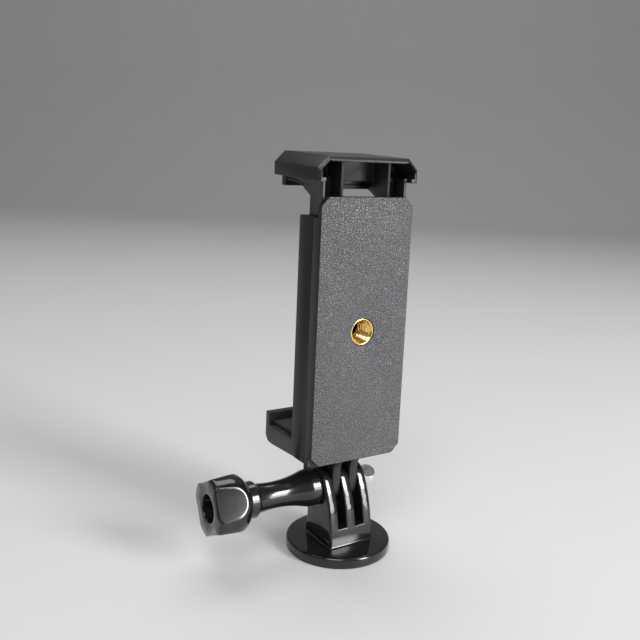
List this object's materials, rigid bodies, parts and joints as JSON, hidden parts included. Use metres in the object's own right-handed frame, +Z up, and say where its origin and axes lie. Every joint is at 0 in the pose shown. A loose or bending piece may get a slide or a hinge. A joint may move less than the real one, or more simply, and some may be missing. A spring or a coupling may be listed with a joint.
{
  "type": "phone clip with tripod base",
  "caption": "Spring-loaded phone clip with a grained rear plate and a threaded insert, tilting on a round three-finger base with a long thumb knob.",
  "frame": {"origin": "centre of the foot disc's underside, at the mouth of its threaded insert", "axes": "+Z up, +X along the clamping screw towards the cap nut, -Y towards the clip's rear plate with the threaded insert"},
  "size_m": [0.0598, 0.0363, 0.1198],
  "materials": {
    "grained_cover": "leather-like grain on the rear plate, satin side walls",
    "clip_plastic": "fine satin",
    "base_plastic": "high gloss",
    "brass": "turned, bright",
    "chrome": "polished",
    "steel": "bright zinc",
    "rubber": "matt"
  },
  "bodies": {
    "base": {"tripod_base": "base_plastic", "base_insert": "brass", "cap_nut": "chrome"},
    "knob": {"thumb_knob": "base_plastic", "thumb_screw": "steel"},
    "clip": {"rear_cover": "grained_cover", "clip_insert": "brass", "front_housing": "clip_plastic", "housing_screw_right": "steel", "housing_screw_left": "steel", "lower_jaw_pad": "rubber", "back_pad": "rubber", "spring_right": "steel", "spring_left": "steel"},
    "jaw": {"upper_jaw": "clip_plastic", "upper_jaw_pad": "rubber"}
  },
  "joints": [
    {"name": "clip_tilt", "type": "hinge", "parent": "base", "child": "clip", "pos_m": [0, 0.0028, 0.0193], "axis": [1, 0, 0], "range_deg": [-75, 85]},
    {"name": "jaw_slide", "type": "slide", "parent": "clip", "child": "jaw", "axis": [0, 0, 1], "range_m": [-0.004, 0.024], "stiffness_N_per_m": 30, "springref_m": -0.004, "deforming": ["spring_right", "spring_left"]},
    {"name": "knob_turn", "type": "hinge", "parent": "base", "child": "knob", "pos_m": [0, 0.0028, 0.0193], "axis": [1, 0, 0], "continuous": true}
  ]
}
